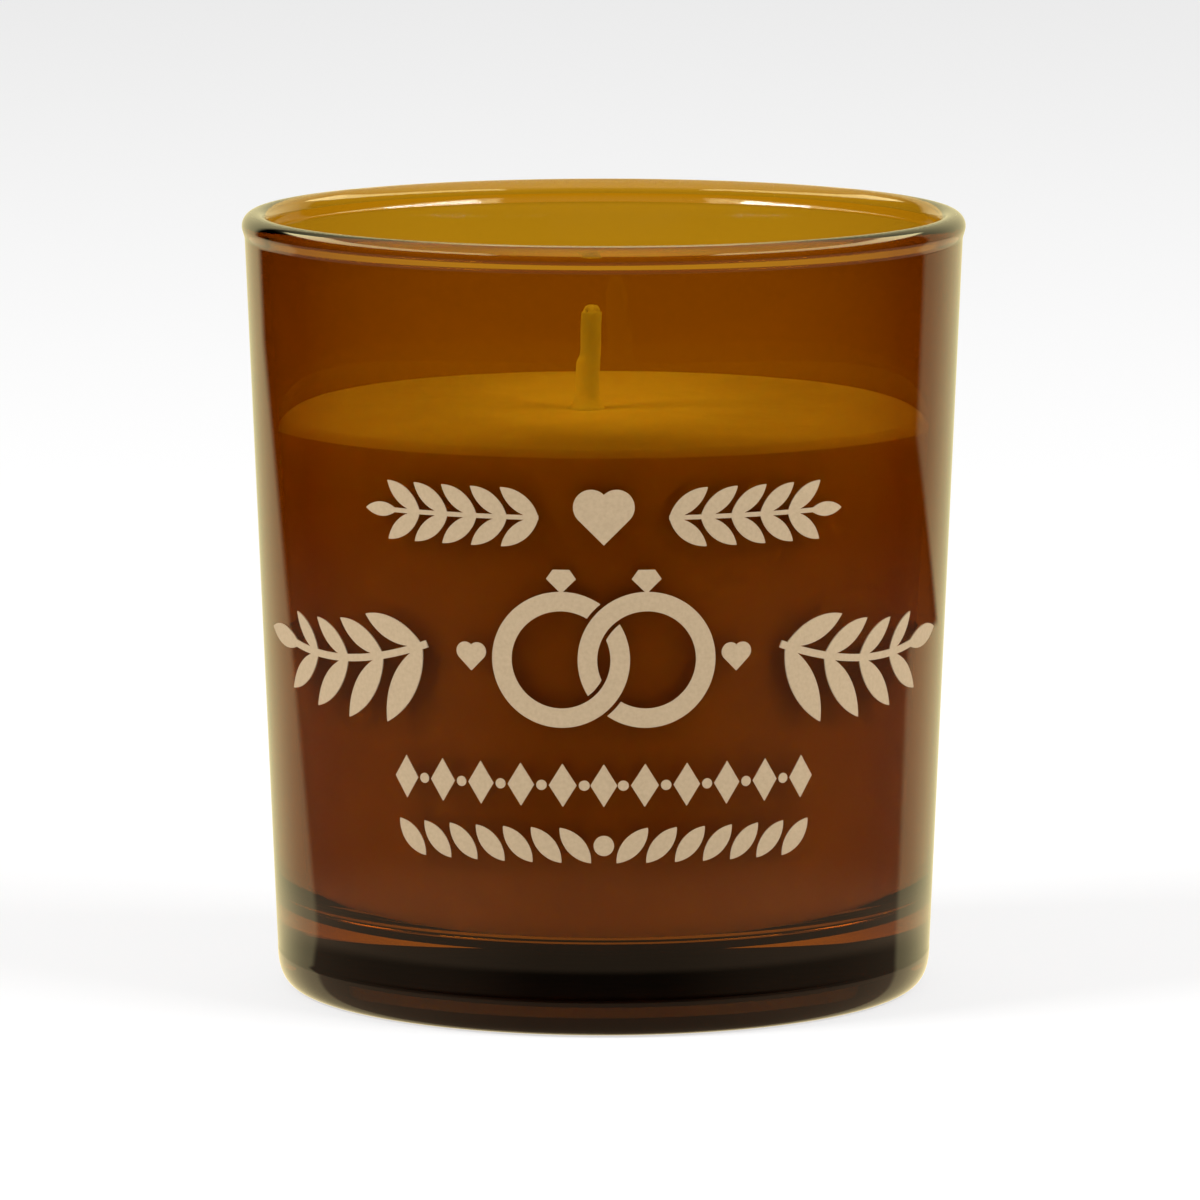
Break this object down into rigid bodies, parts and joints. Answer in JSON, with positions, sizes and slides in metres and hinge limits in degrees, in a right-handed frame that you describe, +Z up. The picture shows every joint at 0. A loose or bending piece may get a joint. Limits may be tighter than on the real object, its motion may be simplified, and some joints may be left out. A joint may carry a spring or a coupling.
{
  "type": "container candle",
  "caption": "Wedding container candle: tapered amber-lacquered tumbler, heavy base and rim bead, poured wax fill, upright braided wick in a sustainer, printed front.",
  "frame": {"origin": "on the tumbler's axis, in the plane of the foot ring that it stands on", "axes": "+Z up the tumbler's axis, -Y towards the printed front, +X to the viewer's right"},
  "size_m": [0.08, 0.08, 0.0862],
  "materials": {
    "amber_glass": "clear soda-lime glass with a transparent amber lacquer outside",
    "candle_wax": "soft, slightly mottled poured wax",
    "wick_cotton": "round braided cotton",
    "wick_core_thread": "twisted paper-cotton thread",
    "primer_wax": "thin hard wax coat",
    "sustainer_steel": "tin-plated pressed steel",
    "sticker_film": "white double-sided sticker",
    "print_ink": "fired beige ink, matte"
  },
  "bodies": {
    "root": {"glass_tumbler": "amber_glass", "wax_fill": "candle_wax", "wick_braid": "wick_cotton", "wick_core": "wick_core_thread", "wick_wax_coat": "primer_wax", "wick_sustainer": "sustainer_steel", "wick_sticker": "sticker_film", "print_garland": "print_ink", "print_rings": "print_ink", "print_hearts": "print_ink", "print_sprig_left": "print_ink", "print_sprig_right": "print_ink", "print_diamond_border": "print_ink", "print_leaf_border": "print_ink"}
  },
  "joints": []
}
